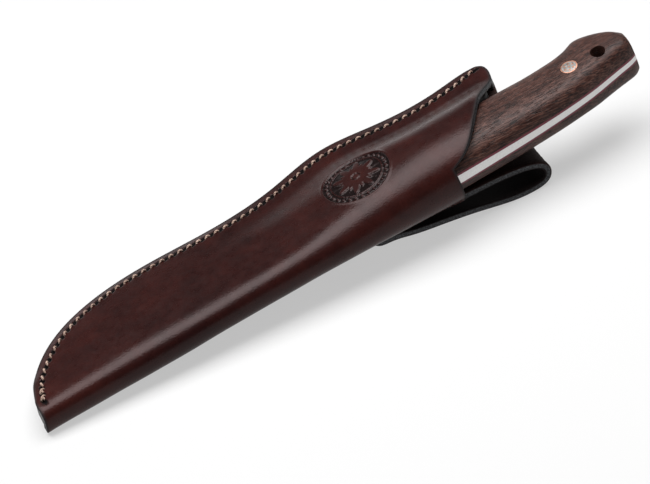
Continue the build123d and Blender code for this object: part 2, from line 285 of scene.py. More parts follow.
def look_up(table, x, s):
    """Bilinear reading of a panel table."""
    i, u = table_row(x)
    j, v = grid_place(s / S_STEP, len(GRID_S))
    u, v = u[:, None], v[:, None]
    return (table[i, j] * (1 - u) * (1 - v) + table[i + 1, j] * u * (1 - v)
            + table[i, j + 1] * (1 - u) * v + table[i + 1, j + 1] * u * v)


def to_pattern(points, side):
    """Points given as (X, Y) to pattern coordinates (X, S), each on its own blended section."""
    out = np.array(points, float)
    table = TABLES[side]
    for n, (i, u) in enumerate(zip(*table_row(out[:, 0]))):
        section_y = table[i, :, 0] * (1 - u) + table[i + 1, :, 0] * u
        out[n, 1] = side * np.interp(out[n, 1], section_y, GRID_S)
    return out


STRAP_SAMPLES = 2000
ROOT_SAMPLES = 400          # the first stretch of the strap's path, where X still rises
strap_curve = Spline(STRAP_PATH)
strap_fine = strap_curve(np.linspace(0, strap_curve.t[-1], STRAP_SAMPLES))
strap_run = np.r_[0, np.cumsum(np.hypot(*np.diff(strap_fine, axis=0).T))]
root_run = np.interp(STRAP_ROOT_X, strap_fine[:ROOT_SAMPLES, 0], strap_run[:ROOT_SAMPLES])
strap_run = strap_run - root_run + STRAP_ROOT_X
strap_tangent = tangents(strap_fine)
STRAP_LENGTH = strap_run[-1]
S_NEAR = abs(to_pattern([(STRAP_ROOT_X, STRAP_NEAR_Y)], -1)[0, 1])
S_FAR = abs(to_pattern([(STRAP_ROOT_X, STRAP_FAR_Y)], -1)[0, 1])


LIFT_X = 154.0              # here the back panel starts to bend over into the strap
NEAR_BLEND, FAR_BLEND = 4.0, 5.0    # width of that bend beside the strap, towards the fold and the seam
TONGUE_MARGIN = 0.35
TONGUE_FADE = 12.0
NUDGE = 0.3                 # step for reading a direction off the surface


def strap_surface(x, s):
    """Grain face of the strap. It looks outwards at the root, and towards the back panel
    once the strap has folded back on itself."""
    run = np.clip(x, strap_run[0], strap_run[-1])
    px, pz = read_at(run, strap_run, strap_fine).T
    tx, tz = read_at(run, strap_run, strap_tangent).T
    y = STRAP_NEAR_Y + (s - S_NEAR) / (S_FAR - S_NEAR) * (STRAP_FAR_Y - STRAP_NEAR_Y)
    half = LEATHER / 2
    return np.stack([px + tz * half, y, pz - tx * half], 1)


def surface(x, s):
    """Grain face of the leather at pattern coordinates."""
    x, s = np.asarray(x, float), np.asarray(s, float)
    out = np.zeros((len(x), 3))
    for side in TABLES:
        pick = (s >= 0) == (side > 0)
        out[pick] = np.c_[x[pick], look_up(TABLES[side], x[pick], np.abs(s[pick]))]
    back_s = -s
    tongue = (x > TONGUE_X) & (back_s < S_FAR + TONGUE_MARGIN) & (back_s > 0)
    rise = smooth((x - LIFT_X) / (TONGUE_X - LIFT_X)) * (1 - smooth((x - TONGUE_X) / TONGUE_FADE))
    near = smooth((back_s - (S_NEAR - NEAR_BLEND)) / NEAR_BLEND)
    far = 1 - smooth((back_s - S_FAR) / FAR_BLEND)
    weight = np.where(tongue, 1.0, rise * near * far)
    weight = np.where(back_s > 0, weight, 0.0)[:, None]
    return out * (1 - weight) + strap_surface(x, back_s) * weight


def frame_at(x, s):
    """Point, outward normal and the direction of rising X on the surface."""
    p = surface(x, s)
    du = surface(x + NUDGE, s) - surface(x - NUDGE, s)
    dv = surface(x, s + NUDGE) - surface(x, s - NUDGE)
    n = np.cross(du, dv)
    n /= np.linalg.norm(n, axis=1)[:, None]
    du /= np.linalg.norm(du, axis=1)[:, None]
    return p, n, du


# outline of the cut leather in pattern coordinates, one closed loop
tab_curve = Spline(TAB_POINTS)
BOUNDARY_STEP = 0.8
CORNER_POINTS = 6


def round_corner(a, corner, b, radius):
    """Points that round a corner between the directions to a and b."""
    a, corner, b = (np.array(p, float) for p in (a, corner, b))
    u = (a - corner) / np.linalg.norm(a - corner)
    v = (b - corner) / np.linalg.norm(b - corner)
    t = np.linspace(0, 1, CORNER_POINTS)[:, None]
    start, end = corner + u * radius, corner + v * radius
    return start * (1 - t) ** 2 + corner * 2 * t * (1 - t) + end * t**2


def leather_outline():
    """The outline, from the tip up the front seam and round the mouths and the strap to the back seam."""
    seam = resample(np.r_[SEAM_FINE, tab_curve.even(FINE_STEP)[1:]], BOUNDARY_STEP)
    front_mouth = Spline(FRONT_MOUTH).even(BOUNDARY_STEP)
    notch = Spline(BACK_NOTCH).even(BOUNDARY_STEP)
    front_seam = to_pattern(seam, 1)
    back_seam = to_pattern(seam, -1)
    front_edge = to_pattern(front_mouth, 1)
    back_edge = to_pattern(notch, -1)
    near, far, end = -S_NEAR, -S_FAR, STRAP_LENGTH
    turn_x = end - STRAP_CORNER
    strap_far = line(back_edge[-1], (turn_x, far), BOUNDARY_STEP)
    corner_far = round_corner((turn_x, far), (end, far), (end, far + STRAP_CORNER), STRAP_CORNER)
    corner_near = round_corner((end, near - STRAP_CORNER), (end, near), (turn_x, near), STRAP_CORNER)
    across = line(corner_far[-1], corner_near[0], BOUNDARY_STEP)
    root, fold_start = (MOUTH_X + ROOT_CORNER, near), (MOUTH_X, near + ROOT_CORNER)
    strap_near = line(corner_near[-1], root, BOUNDARY_STEP)
    inner = round_corner(root, (MOUTH_X, near), fold_start, ROOT_CORNER)
    fold_mouth = line(fold_start, front_edge[-1], BOUNDARY_STEP)
    back_tip, front_tip = back_seam[0], front_seam[0]
    tip = Spline([back_tip, (-0.1, back_tip[1] / 2), (0.6, 0.0), (1.2, 4.5), (1.1, 8.0), front_tip])
    backwards = (fold_mouth, inner, strap_near, corner_near, across,
                 corner_far, strap_far, back_edge, back_seam)
    stretches = [front_seam, front_edge] + [row[::-1] for row in backwards] + [tip.even(BOUNDARY_STEP)]
    return np.concatenate([row[:-1] for row in stretches])


outline = leather_outline()


def boundary_distance(points, loop):
    """Distance in pattern space from each point to a closed loop of points."""
    dense = np.concatenate([loop, (loop + np.roll(loop, -1, 0)) / 2])
    tree = KDTree(len(dense))
    for i, p in enumerate(dense):
        tree.insert((p[0], p[1], 0), i)
    tree.balance()
    nxt = np.roll(loop, -1, 0)
    count = len(loop)
    out = np.zeros(len(points))
    for n, p in enumerate(points):
        _, i, _ = tree.find((p[0], p[1], 0))
        i %= count
        best = 1e9
        for j in (i - 1, i, (i + 1) % count):
            a, b = loop[j], nxt[j]
            ab = b - a
            u = min(1.0, max(0.0, float(np.dot(p - a, ab) / max(np.dot(ab, ab), 1e-12))))
            best = min(best, math.hypot(*(p - a - ab * u)))
        out[n] = best
    return out


def inside_loop(points, loop):
    """Even-odd test of points against a closed loop."""
    x, y = points[:, 0], points[:, 1]
    inside = np.zeros(len(points), bool)
    for (x0, y0), (x1, y1) in zip(loop, np.roll(loop, -1, 0)):
        crosses = (y0 > y) != (y1 > y)
        if y0 != y1:
            inside ^= crosses & (x < (x1 - x0) * (y - y0) / (y1 - y0) + x0)
    return inside


# ---- stitch line: STITCH_INSET from the seam, and closer to it at the tab and the tip ----
SEAM_STEP = 0.5
TAB_INSET_X, TAB_INSET_FADE = 187.0, 10.0
TIP_INSET_Y, TIP_INSET_FADE = -8.0, 26.0
TIP_STEPS = 6               # steps of the seam by which the line runs on past its start
LINE_END = 1.0              # from either end of the line to the first or last hole

seam_even = seam_curve.even(SEAM_STEP)
seam_inward = quarter_turn(tangents(seam_even))
at_tab = np.clip((seam_even[:, :1] - TAB_INSET_X) / TAB_INSET_FADE, 0, 1)
at_tip = 1 - smooth((seam_even[:, 1:] - TIP_INSET_Y) / TIP_INSET_FADE)
inset = STITCH_INSET + (TAB_INSET - STITCH_INSET) * at_tab + (TIP_INSET - STITCH_INSET) * at_tip
stitch_fine = seam_even + seam_inward * inset
stitch_fine = np.concatenate([[stitch_fine[0] * 2 - stitch_fine[TIP_STEPS]], stitch_fine])
seam_inward = np.concatenate([seam_inward[:1], seam_inward])
stitch_run = run_along(stitch_fine)
STITCHES = int((stitch_run[-1] - 2 * LINE_END) / STITCH_PITCH) // 2 * 2
stitch_at = np.linspace(LINE_END, stitch_run[-1] - LINE_END, STITCHES + 1)


def along_stitch_line(run, sideways=0.0):
    """(X, Y) at a run along the stitch line, shifted towards the fold."""
    p, n = (read_at(run, stitch_run, values) for values in (stitch_fine, seam_inward))
    return p + n * np.reshape(sideways, (-1, 1))


# ---- stamped roundel: a plain ring of beads round a geometric rosette -------
ROUNDEL_XY = (137.2, 5.8)
ROUNDEL_R = 13.7
STAMP_DEPTH = 0.55
STAMP_BLUR = 0.16           # width of the stamp's edges
BEADS = 30
BEAD_RADIUS = 0.55
BEAD_RING = ROUNDEL_R - 2.4
HUB_RADIUS = 1.3
PETALS = 8                  # in each of two rings: reach, half width, turned by
PETAL_START = 1.6
PETAL_RINGS = ((8.8, 1.25, 0.0), (6.3, 0.75, math.pi / PETALS))
roundel_centre = to_pattern([ROUNDEL_XY], 1)[0]


def roundel_depth(points):
    """Stamping depth, mm, and how dark the stamped ground is, at pattern points."""
    d = points - roundel_centre
    r = np.hypot(d[:, 0], d[:, 1])
    a = np.arctan2(d[:, 1], d[:, 0])

    def within(distance, edge):
        """1 inside an edge and 0 outside it, with a soft step between."""
        return 1 - smooth((distance - edge) / STAMP_BLUR + 0.5)

    ground = within(r, ROUNDEL_R - 1.0)
    raised = (1 - within(r, ROUNDEL_R - 4.1)) * within(r, ROUNDEL_R - 3.7)
    bead_a = (a * BEADS / (2 * math.pi)) % 1 - 0.5
    bead_r = np.hypot(bead_a * 2 * math.pi * BEAD_RING / BEADS, r - BEAD_RING)
    raised = np.maximum(raised, within(bead_r, BEAD_RADIUS))
    for reach, width, turn_by in PETAL_RINGS:
        petal_a = ((a + turn_by) * PETALS / (2 * math.pi)) % 1 - 0.5
        side = np.abs(petal_a) * 2 * math.pi * r / PETALS
        along = np.clip((r - PETAL_START) / (reach - PETAL_START), 0, 1)
        half = width * np.sqrt(np.clip(np.sin(math.pi * along), 0, 1)) * (r < reach)
        raised = np.maximum(raised, within(side, half))
    raised = np.maximum(raised, within(r, HUB_RADIUS))
    lip = np.exp(-((r - (ROUNDEL_R - 0.55)) / 0.5) ** 2)
    depth = -STAMP_DEPTH * ground * (1 - raised) - 0.08 * ground + 0.24 * lip
    return depth, ground * (1 - 0.95 * raised)


# the leather's outer and inner faces as one mesh
ROW_RISE = 0.866            # height of an equilateral triangle of side 1


def hex_grid(loop, step, keep):
    """Hexagonal points inside a loop where keep() says so."""
    low, high = loop.min(0), loop.max(0)
    rows = []
    for n, v in enumerate(np.arange(low[1], high[1], step * ROW_RISE)):
        u = np.arange(low[0] + (n % 2) * step / 2, high[0], step)
        rows.append(np.c_[u, np.full(len(u), v)])
    points = np.concatenate(rows)
    points = points[keep(points)]
    return points[inside_loop(points, loop)]


def triangulate(loop, points):
    """Constrained triangulation of the region inside a loop; loop points come first."""
    every = np.concatenate([loop, points])
    count = len(loop)
    edges = [(i, (i + 1) % count) for i in range(count)]
    out = delaunay_2d_cdt([Vector(p) for p in every], edges, [list(range(count))], 1, 1e-6)
    verts = np.array([tuple(v) for v in out[0]])
    return verts, [tuple(f) for f in out[2]]


def stitch_band(side, half_width, step):
    """Rows of points along the stitch line of one panel."""
    run = np.arange(0.2, stitch_run[-1] - 0.2, step)
    rows = []
    for n, sideways in enumerate(np.arange(-half_width, half_width + 1e-6, step)):
        rows.append(along_stitch_line(run + (n % 2) * step / 2, np.full(len(run), sideways)))
    return to_pattern_fast(np.concatenate(rows), side)


def to_pattern_fast(points, side):
    """to_pattern for many points: read on the two sections beside each point, then blended."""
    table = TABLES[side]
    row, share = table_row(points[:, 0])
    out = points.copy()
    for i in np.unique(row):
        pick = row == i
        y, u = points[pick, 1], share[pick]
        below = np.interp(y, table[i, :, 0], GRID_S)
        above = np.interp(y, table[i + 1, :, 0], GRID_S)
        out[pick, 1] = side * (below * (1 - u) + above * u)
    return out


def on_both_panels(points):
    """(X, Y) points as pattern points of the front panel and then of the back one."""
    return np.concatenate([to_pattern_fast(points, side) for side in TABLES])


def tree_of(points):
    tree = KDTree(len(points))
    for i, p in enumerate(points):
        tree.insert((p[0], p[1], 0), i)
    tree.balance()
    return tree


def tree_distance(tree, points):
    return np.array([tree.find((p[0], p[1], 0))[2] for p in points])


stitch_tree = tree_of(on_both_panels(along_stitch_line(np.arange(0.5, stitch_run[-1] - 0.4, 0.3))))
AWL_SLANT = (0.50, -0.36)   # along the seam and towards the fold, from a hole's middle to one end
LAST_SLOT = (0.4, 0.8, 1.2)  # the last hole is a longer slot: distances of points past its middle
hole_xy = np.concatenate([along_stitch_line(stitch_at + k * AWL_SLANT[0], k * AWL_SLANT[1])
                          for k in (-1.0, 0.0, 1.0)])
last_way = hole_xy[-1] - along_stitch_line(stitch_at[-1:] - 1.0)[0]
last_way /= np.linalg.norm(last_way)
last_slot = along_stitch_line(stitch_at[-1:])[0] + np.outer(LAST_SLOT, last_way)
hole_tree = tree_of(on_both_panels(np.concatenate([hole_xy, last_slot])))
loop_inward = quarter_turn(np.roll(outline, -1, 0) - np.roll(outline, 1, 0))
loop_inward /= np.linalg.norm(loop_inward, axis=1)[:, None]
EDGE_ROWS = (0.09, 0.22, 0.42, 0.8, 1.3)


def edge_row(distance, share):
    """Points inside the outline at a distance, without those that come closer to another stretch of it."""
    row = outline + loop_inward * distance
    row = row[inside_loop(row, outline)]
    return row[boundary_distance(row, outline) > share * distance]


def outer_points():
    """Points of the grain face: dense at the edge, the stitches and the stamp, wide elsewhere."""
    edge_rows = [edge_row(distance, 0.85) for distance in EDGE_ROWS]
    bands = [stitch_band(side, 1.7, 0.34) for side in (1, -1)]
    stamp = hex_grid(outline, 0.32, lambda p: np.hypot(*(p - roundel_centre).T) < ROUNDEL_R + 0.6)
    slot_tree = tree_of(to_pattern_fast(last_slot[1:], 1))
    slot = hex_grid(outline, 0.3, lambda p: (p[:, 0] > 190) & (tree_distance(slot_tree, p) < 1.5))
    plain = hex_grid(outline, 1.25, lambda p: np.hypot(*(p - roundel_centre).T) > ROUNDEL_R + 1.2)
    plain = plain[(boundary_distance(plain, outline) > 1.9) & (tree_distance(stitch_tree, plain) > 2.2)]
    return np.concatenate(edge_rows + bands + [stamp, plain, slot])


CUT_ROWS = (0.12, 0.5, 0.88)
LOOP_PAINTED_SHADE_X, LOOP_PAINTED_SHADE_FADE = 176.0, 6.0      # painted shade: the grain inside the belt loop is painted darker, and it is duller


def edge_fall(distance, radius):
    """How far a rounded edge has dropped at a distance from it."""
    inset = np.clip(radius - distance, 0, radius)
    return radius - np.sqrt(np.clip(radius**2 - inset**2, 0, None))


def wander(p):
    """Slow unevenness of hand-moulded leather, mm."""
    x, y, z = p.T
    return (0.10 * np.sin(x * 0.083 + 0.7) * np.cos(y * 0.13 + 0.4 * z)
            + 0.05 * np.sin(x * 0.16 + y * 0.17 + 1.9) + 0.02 * np.sin(x * 0.31 - y * 0.23 + z * 0.2))


def leather_faces():
    """Vertices in mm, faces, per-vertex marks and the test for crisp edges of the leather."""
    outer_flat, outer_faces = triangulate(outline, outer_points())
    inner_fill = hex_grid(outline, 2.0, lambda p: np.full(len(p), True))
    inner_fill = inner_fill[boundary_distance(inner_fill, outline) > 1.2]
    inner_flat, inner_faces = triangulate(outline, np.concatenate([edge_row(0.5, 0.8), inner_fill]))

    edge = boundary_distance(outer_flat, outline)
    p, n, _ = frame_at(outer_flat[:, 0], outer_flat[:, 1])
    line_gap = tree_distance(stitch_tree, outer_flat)
    hole_gap = tree_distance(hole_tree, outer_flat)
    stamp, ground = (np.where(outer_flat[:, 1] > 0, part, 0) for part in roundel_depth(outer_flat))
    pit = np.exp(-((hole_gap / 0.66) ** 6))
    flange = smooth((np.abs(outer_flat[:, 1]) - 20) / 8) * (outer_flat[:, 0] < 203)
    height = -edge_fall(edge, EDGE_ROUND) + stamp - FLANGE_DROOP * (1 - smooth(edge / 4.6)) * flange
    height -= 0.12 * np.exp(-((line_gap / 0.95) ** 2)) + 1.1 * pit
    height += wander(p) * smooth(edge / 4.0)
    outer = p + n * height[:, None]

    inner_edge = boundary_distance(inner_flat, outline)
    q, m, _ = frame_at(inner_flat[:, 0], inner_flat[:, 1])
    depth = LEATHER - edge_fall(inner_edge, 0.45) - wander(q) * smooth(inner_edge / 4.0)
    inner = q - m * depth[:, None]

    count = len(outline)
    base = len(outer)
    cut = base + len(inner)
    faces = [f if orientation(outer_flat, f) > 0 else f[::-1] for f in outer_faces]
    inner_faces = [f[::-1] if orientation(inner_flat, f) > 0 else f for f in inner_faces]
    faces += [tuple(base + i for i in f) for f in inner_faces]
    cut_rows = [outer[:count] * (1 - t) + inner[:count] * t for t in CUT_ROWS]
    starts = [0] + [cut + k * count for k in range(len(CUT_ROWS))] + [base]
    for a, b in zip(starts, starts[1:]):
        for i in range(count):
            j = (i + 1) % count
            faces.append((a + j, a + i, b + i, b + j))
    verts = np.concatenate([outer, inner] + cut_rows)
    many = count * len(CUT_ROWS)
    zeros = np.zeros(len(inner) + many)
    on_strap = (outer_flat[:, 1] < 0) & (outer_flat[:, 1] > -S_FAR - 1)
    # painted shade on the strap's grain where it lies inside the belt loop
    loop_painted_shade = smooth((outer_flat[:, 0] - LOOP_PAINTED_SHADE_X) / LOOP_PAINTED_SHADE_FADE) * on_strap
    marks = {
        "edge": np.r_[np.exp(-((edge / 0.75) ** 2)), np.exp(-((inner_edge / 0.8) ** 1.5)), np.ones(many)],
        "cut": np.r_[np.zeros(len(outer)), np.zeros(len(inner)), np.ones(many)],
        # painted shade: the stitch holes and a rim round them, marked for colour
        "pit": np.r_[np.exp(-((hole_gap / 0.80) ** 6)), zeros],
        "ground": np.r_[ground, zeros],
        # painted shade inside the belt loop
        "loop": np.r_[loop_painted_shade, zeros],
        "flesh": np.r_[np.zeros(len(outer)), np.ones(len(inner)), np.zeros(many)],
    }

    def crisp(ends):
        """Edges along the cut: both ends on the rim of the same face of the leather."""
        outside = (ends < count).all(1)
        inside = ((ends >= base) & (ends < base + count)).all(1)
        return outside | inside
    return verts, faces, marks, crisp


def orientation(flat, face):
    """Twice a triangle's area in the pattern, positive when its corners run anticlockwise."""
    a, b, c = (flat[i] for i in face[:3])
    return (b[0] - a[0]) * (c[1] - a[1]) - (b[1] - a[1]) * (c[0] - a[0])


# Blender helpers
def new_piece(name, verts_mm, faces, material, body, replaces, marks=None, crisp=None):
    """A visual piece in the row frame, riding a body and replacing CAD nodes."""
    mesh = bpy.data.meshes.new(name)
    mesh.from_pydata([tuple(v) for v in verts_mm], [], faces)
    for key, values in (marks or {}).items():
        layer = mesh.attributes.new(key, "FLOAT", "POINT")
        layer.data.foreach_set("value", np.asarray(values, np.float32))
    mesh.transform(KNIFE_TO_ROW)
    mesh.polygons.foreach_set("use_smooth", [True] * len(mesh.polygons))
    mesh.update()
    if crisp is not None:
        ends = np.zeros(len(mesh.edges) * 2, int)
        mesh.edges.foreach_get("vertices", ends)
        layer = mesh.attributes.new("sharp_edge", "BOOLEAN", "EDGE")
        layer.data.foreach_set("value", crisp(ends.reshape(-1, 2)))
    piece = bpy.data.objects.new(name, mesh)
    bpy.context.scene.collection.objects.link(piece)
    mesh.materials.append(material)
    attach(piece, body)
    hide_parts(*replaces)


# procedural materials
class Nodes:
    """Small builder for a principled material with chained nodes."""

    def __init__(self, name):
        self.mat = bpy.data.materials.new(name)
        self.mat.use_nodes = True
        self.tree = self.mat.node_tree
        self.tree.nodes.clear()
        out = self.tree.nodes.new("ShaderNodeOutputMaterial")
        self.bsdf = self.tree.nodes.new("ShaderNodeBsdfPrincipled")
        self.link(self.bsdf.outputs[0], out.inputs["Surface"])
        self.coords = self.tree.nodes.new("ShaderNodeTexCoord").outputs["Object"]

    def link(self, a, b):
        self.tree.links.new(a, b)

    def put(self, socket, value):
        if isinstance(value, bpy.types.NodeSocket):
            self.link(value, socket)
        else:
            socket.default_value = value

    def mapping(self, scale, rotation=(0, 0, 0), source=None):
        n = self.tree.nodes.new("ShaderNodeMapping")
        self.put(n.inputs["Vector"], source or self.coords)
        n.inputs["Scale"].default_value = scale
        n.inputs["Rotation"].default_value = rotation
        return n.outputs[0]

    def noise(self, scale, detail=3.0, rough=0.5, vector=None, distortion=0.0):
        n = self.tree.nodes.new("ShaderNodeTexNoise")
        self.put(n.inputs["Vector"], vector or self.coords)
        n.inputs["Scale"].default_value = scale
        n.inputs["Detail"].default_value = detail
        n.inputs["Roughness"].default_value = rough
        n.inputs["Distortion"].default_value = distortion
        return n.outputs["Fac"]

    def cells(self, scale, smoothness):
        n = self.tree.nodes.new("ShaderNodeTexVoronoi")
        n.feature = "SMOOTH_F1"
        self.link(self.coords, n.inputs["Vector"])
        n.inputs["Scale"].default_value = scale
        n.inputs["Smoothness"].default_value = smoothness
        return n.outputs["Distance"]

    def attribute(self, name):
        n = self.tree.nodes.new("ShaderNodeAttribute")
        n.attribute_name = name
        return n.outputs["Fac"]

    def ramp(self, fac, stops):
        n = self.tree.nodes.new("ShaderNodeValToRGB")
        self.put(n.inputs[0], fac)
        elements = n.color_ramp.elements
        while len(elements) < len(stops):
            elements.new(0.5)
        for element, (at, colour) in zip(elements, stops):
            element.position = at
            element.color = (*colour, 1)
        return n.outputs["Color"]

    def levels(self, fac, low, high, to_low=0.0, to_high=1.0):
        n = self.tree.nodes.new("ShaderNodeMapRange")
        self.put(n.inputs["Value"], fac)
        for key, value in (("From Min", low), ("From Max", high), ("To Min", to_low), ("To Max", to_high)):
            n.inputs[key].default_value = value
        return n.outputs[0]

    def math(self, op, a, b=0.0, c=0.0):
        n = self.tree.nodes.new("ShaderNodeMath")
        n.operation = op
        for socket, value in zip(n.inputs, (a, b, c)):
            self.put(socket, value)
        return n.outputs[0]

    def mix(self, fac, a, b):
        n = self.tree.nodes.new("ShaderNodeMix")
        n.data_type = "RGBA"
        self.put(n.inputs["Factor"], fac)
        for socket, value in ((n.inputs[6], a), (n.inputs[7], b)):
            if isinstance(value, tuple) and len(value) == 3:
                value = (*value, 1)
            self.put(socket, value)
        return n.outputs[2]

    def bump(self, height, distance, strength=1.0, normal=None):
        n = self.tree.nodes.new("ShaderNodeBump")
        n.inputs["Strength"].default_value = strength
        n.inputs["Distance"].default_value = distance
        self.put(n.inputs["Height"], height)
        if normal is not None:
            self.put(n.inputs["Normal"], normal)
        return n.outputs[0]

    def done(self, **sockets):
        for key, value in sockets.items():
            name = key.replace("_", " ")
            if isinstance(value, tuple) and len(value) == 3:
                value = (*value, 1)
            self.put(self.bsdf.inputs[name], value)
        return self.mat


def leather_material():
    m = Nodes("leather_oxblood")
    broad = m.noise(20, 3, 0.55)
    blotch = m.noise(150, 5, 0.65)
    speckle = m.noise(1500, 3, 0.7)
    tone = m.math("MULTIPLY_ADD", blotch, 0.35, m.math("MULTIPLY", broad, 0.45))
    tone = m.math("MULTIPLY_ADD", speckle, 0.2, tone)
    colour = m.ramp(tone, [(0.36, (0.0080, 0.0016, 0.0015)), (0.50, (0.0175, 0.0036, 0.0030)),
                           (0.66, (0.031, 0.0062, 0.0047))])
    edge = m.attribute("edge")
    pit = m.levels(m.attribute("pit"), 0.06, 0.45)
    flesh = m.attribute("flesh")
    ground = m.attribute("ground")
    fibre = m.noise(1700, 4, 0.8)
    burnish = m.ramp(fibre, [(0.35, (0.0045, 0.0045, 0.0048)), (0.7, (0.013, 0.013, 0.014))])
    colour = m.mix(edge, colour, burnish)
    cut_fibre = m.ramp(fibre, [(0.40, (0.010, 0.0108, 0.0115)), (0.52, (0.040, 0.043, 0.046)),
                               (0.64, (0.11, 0.118, 0.125))])
    colour = m.mix(m.attribute("cut"), colour, cut_fibre)
    suede = m.ramp(m.noise(1500, 4, 0.7), [(0.3, (0.0075, 0.0036, 0.0031)), (0.7, (0.030, 0.0140, 0.0110))])
    colour = m.mix(flesh, colour, suede)
    colour = m.mix(m.math("MULTIPLY", ground, 0.92), colour, (0.0026, 0.0014, 0.0014))
    # painted shade: the grain inside the belt loop is painted near black, standing in for the shade in the
    # loop
    loop = m.attribute("loop")
    colour = m.mix(m.math("MULTIPLY", loop, 0.9), colour, (0.0026, 0.0012, 0.0011))
    # painted shade: the stitch holes are painted near black
    colour = m.mix(pit, colour, (0.0008, 0.0006, 0.0006))
    pores = m.cells(1700, 0.6)
    wrinkle = m.noise(420, 6, 0.68)
    rough = m.levels(m.noise(330, 4, 0.65), 0.3, 0.7, 0.25, 0.35)
    rough = m.mix(flesh, rough, (0.8, 0.8, 0.8))
    rough = m.mix(ground, rough, (0.26, 0.26, 0.26))
    rough = m.mix(loop, rough, (0.7, 0.7, 0.7))
    rough = m.mix(edge, rough, (0.66, 0.66, 0.66))
    normal = m.bump(wrinkle, 0.00012, 0.35)
    normal = m.bump(pores, 0.00008, 0.45, normal)
    normal = m.bump(fibre, 0.00012, 0.30, normal)
    rough = m.mix(pit, rough, (0.9, 0.9, 0.9))
    return m.done(Base_Color=colour, Roughness=rough, Normal=normal, Specular_IOR_Level=0.19,
                  Specular_Tint=(1.0, 0.84, 0.84))


def edge_material():
    """Burnished leather edge of the welt."""
    m = Nodes("leather_edge")
    layers = m.noise(420, 4, 0.7, m.mapping((0.35, 0.35, 2.2)))
    fibre = m.noise(1700, 4, 0.8)
    colour = m.ramp(m.math("MULTIPLY_ADD", fibre, 0.6, m.math("MULTIPLY", layers, 0.4)),
                    [(0.40, (0.005, 0.0046, 0.0045)), (0.52, (0.024, 0.022, 0.021)),
                     (0.62, (0.065, 0.064, 0.063))])
    return m.done(Base_Color=colour, Roughness=m.levels(layers, 0.3, 0.7, 0.4, 0.6),
                  Normal=m.bump(layers, 0.0003, 0.4))


def thread_material():
    m = Nodes("waxed_thread")
    strands = m.noise(3800, 3, 0.6)
    tone = m.noise(140, 2, 0.5)
    colour = m.ramp(m.math("MULTIPLY_ADD", strands, 0.55, m.math("MULTIPLY", tone, 0.5)),
                    [(0.32, (0.14, 0.080, 0.060)), (0.55, (0.35, 0.235, 0.18)), (0.75, (0.56, 0.42, 0.35))])
    return m.done(Base_Color=colour, Roughness=0.55, Normal=m.bump(strands, 0.00006, 0.5), Sheen_Weight=0.15)


def wood_material(name, seed):
    """Dark open-grained wood: fine wavy pore lines over warmer and darker bands."""
    m = Nodes(name)
    offset = m.tree.nodes.new("ShaderNodeVectorMath")
    offset.operation = "ADD"
    m.put(offset.inputs[0], m.coords)
    offset.inputs[1].default_value = (seed * 0.031, seed * 0.017, seed * 0.011)
    base = offset.outputs[0]
    lean = (0.0, -TILT, math.radians(-5.0))
    bands = m.noise(1.0, 4, 0.6, m.mapping((16.0, 210.0, 190.0), lean, base), 0.9)
    figure = m.noise(1.0, 4, 0.75, m.mapping((130.0, 1900.0, 1700.0), lean, base), 0.7)
    lines = m.noise(1.0, 3, 0.8, m.mapping((230.0, 3600.0, 3200.0), lean, base), 0.5)
    tone = m.math("MULTIPLY_ADD", figure, 0.30, m.math("MULTIPLY", bands, 0.20))
    tone = m.math("MULTIPLY_ADD", lines, 0.49, tone)
    colour = m.ramp(tone, [
        (0.42, (0.0066, 0.0023, 0.0017)), (0.475, (0.0265, 0.0098, 0.0074)),
        (0.53, (0.062, 0.0262, 0.0200)), (0.60, (0.122, 0.061, 0.046))])
    pores = m.noise(1.0, 2, 0.5, m.mapping((230.0, 2600.0, 2300.0), lean, base))
    pore_mask = m.levels(pores, 0.57, 0.64)
    colour = m.mix(m.math("MULTIPLY", pore_mask, 0.8), colour, (0.0040, 0.0018, 0.0015))
    rough = m.levels(figure, 0.3, 0.7, 0.36, 0.50)
    height = m.math("SUBTRACT", m.math("MULTIPLY", lines, 0.5), pore_mask)
    return m.done(Base_Color=colour, Roughness=rough, Normal=m.bump(height, 0.00020, 0.5),
                  Specular_IOR_Level=0.2)


def steel_material():
    m = Nodes("satin_steel")
    brushed = m.noise(60, 4, 0.6, m.mapping((60.0, 4.0, 60.0), (0, -TILT, 0)))
    fine = m.noise(240, 3, 0.6, m.mapping((8.0, 1.0, 8.0), (0, -TILT, 0)))
    mixed = m.math("MULTIPLY_ADD", fine, 0.5, m.math("MULTIPLY", brushed, 0.5))
    colour = m.ramp(mixed, [(0.3, (0.47, 0.46, 0.455)), (0.7, (0.62, 0.61, 0.60))])
    return m.done(Base_Color=colour, Metallic=1.0, Roughness=m.levels(mixed, 0.3, 0.7, 0.30, 0.44),
                  Normal=m.bump(mixed, 0.00001, 0.5))


def liner_material():
    m = Nodes("burgundy_fibre")
    fibre = m.noise(1600, 4, 0.6)
    colour = m.ramp(fibre, [(0.3, (0.085, 0.005, 0.014)), (0.7, (0.17, 0.012, 0.030))])
    return m.done(Base_Color=colour, Roughness=m.levels(fibre, 0.3, 0.7, 0.42, 0.55),
                  Normal=m.bump(fibre, 0.00002, 0.4))


def pin_material(name, grain, dull, bright, rough_low, rough_high):
    """Polished metal of a mosaic pin."""
    m = Nodes(name)
    polish = m.noise(grain, 4, 0.6)
    return m.done(Base_Color=m.ramp(polish, [(0.3, dull), (0.7, bright)]), Metallic=1.0,
                  Roughness=m.levels(polish, 0.3, 0.7, rough_low, rough_high),
                  Normal=m.bump(polish, 0.00001, 0.5))


LEATHER_MAT = leather_material()
EDGE_MAT = edge_material()
THREAD_MAT = thread_material()


# pieces
verts, faces, marks, crisp = leather_faces()
new_piece("sheath_leather_moulded", verts, faces, LEATHER_MAT, "sheath", ["sheath_leather"],
          marks, crisp)


